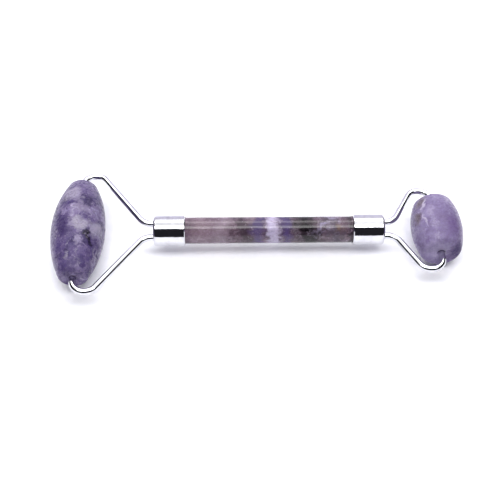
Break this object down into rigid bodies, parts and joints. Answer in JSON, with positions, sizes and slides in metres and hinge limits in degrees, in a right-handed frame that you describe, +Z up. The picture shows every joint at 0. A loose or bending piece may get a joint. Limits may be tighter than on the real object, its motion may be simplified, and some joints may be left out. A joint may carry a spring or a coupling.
{
  "type": "face roller",
  "caption": "Face roller: a polished amethyst bar with plated end caps, a bent wire yoke at each end, and a large and a small barrel-shaped amethyst roller that spin on the wires' ends.",
  "frame": {"origin": "on the surface that the object lies on, under the middle of its box", "axes": "+X along the handle towards the small roller, +Y along both roller axles, +Z up from the surface that it lies on"},
  "size_m": [0.1452, 0.0564, 0.019],
  "materials": {
    "bar_stone": "polished smoky amethyst, cloudy, with pale veins",
    "large_roller_stone": "tumbled and polished amethyst, deep purple with pale clouds",
    "small_roller_stone": "tumbled and polished amethyst, pale lavender",
    "plated_cap": "bright chromium plate on drawn brass",
    "plated_wire": "bright chromium plate on drawn steel wire",
    "cement": "cured two-part epoxy"
  },
  "bodies": {
    "handle": {"handle_bar": "bar_stone", "large_end_ferrule": "plated_cap", "small_end_ferrule": "plated_cap", "large_end_cement": "cement", "small_end_cement": "cement", "large_yoke": "plated_wire", "small_yoke": "plated_wire"},
    "large_roller": {"large_roller": "large_roller_stone"},
    "small_roller": {"small_roller": "small_roller_stone"}
  },
  "joints": [
    {"name": "large_roller_spin", "type": "hinge", "parent": "handle", "child": "large_roller", "pos_m": [-0.0631, 0, 0.0095], "axis": [0, 1, 0], "continuous": true},
    {"name": "small_roller_spin", "type": "hinge", "parent": "handle", "child": "small_roller", "pos_m": [0.0636, 0, 0.0095], "axis": [0, 1, 0], "continuous": true}
  ]
}
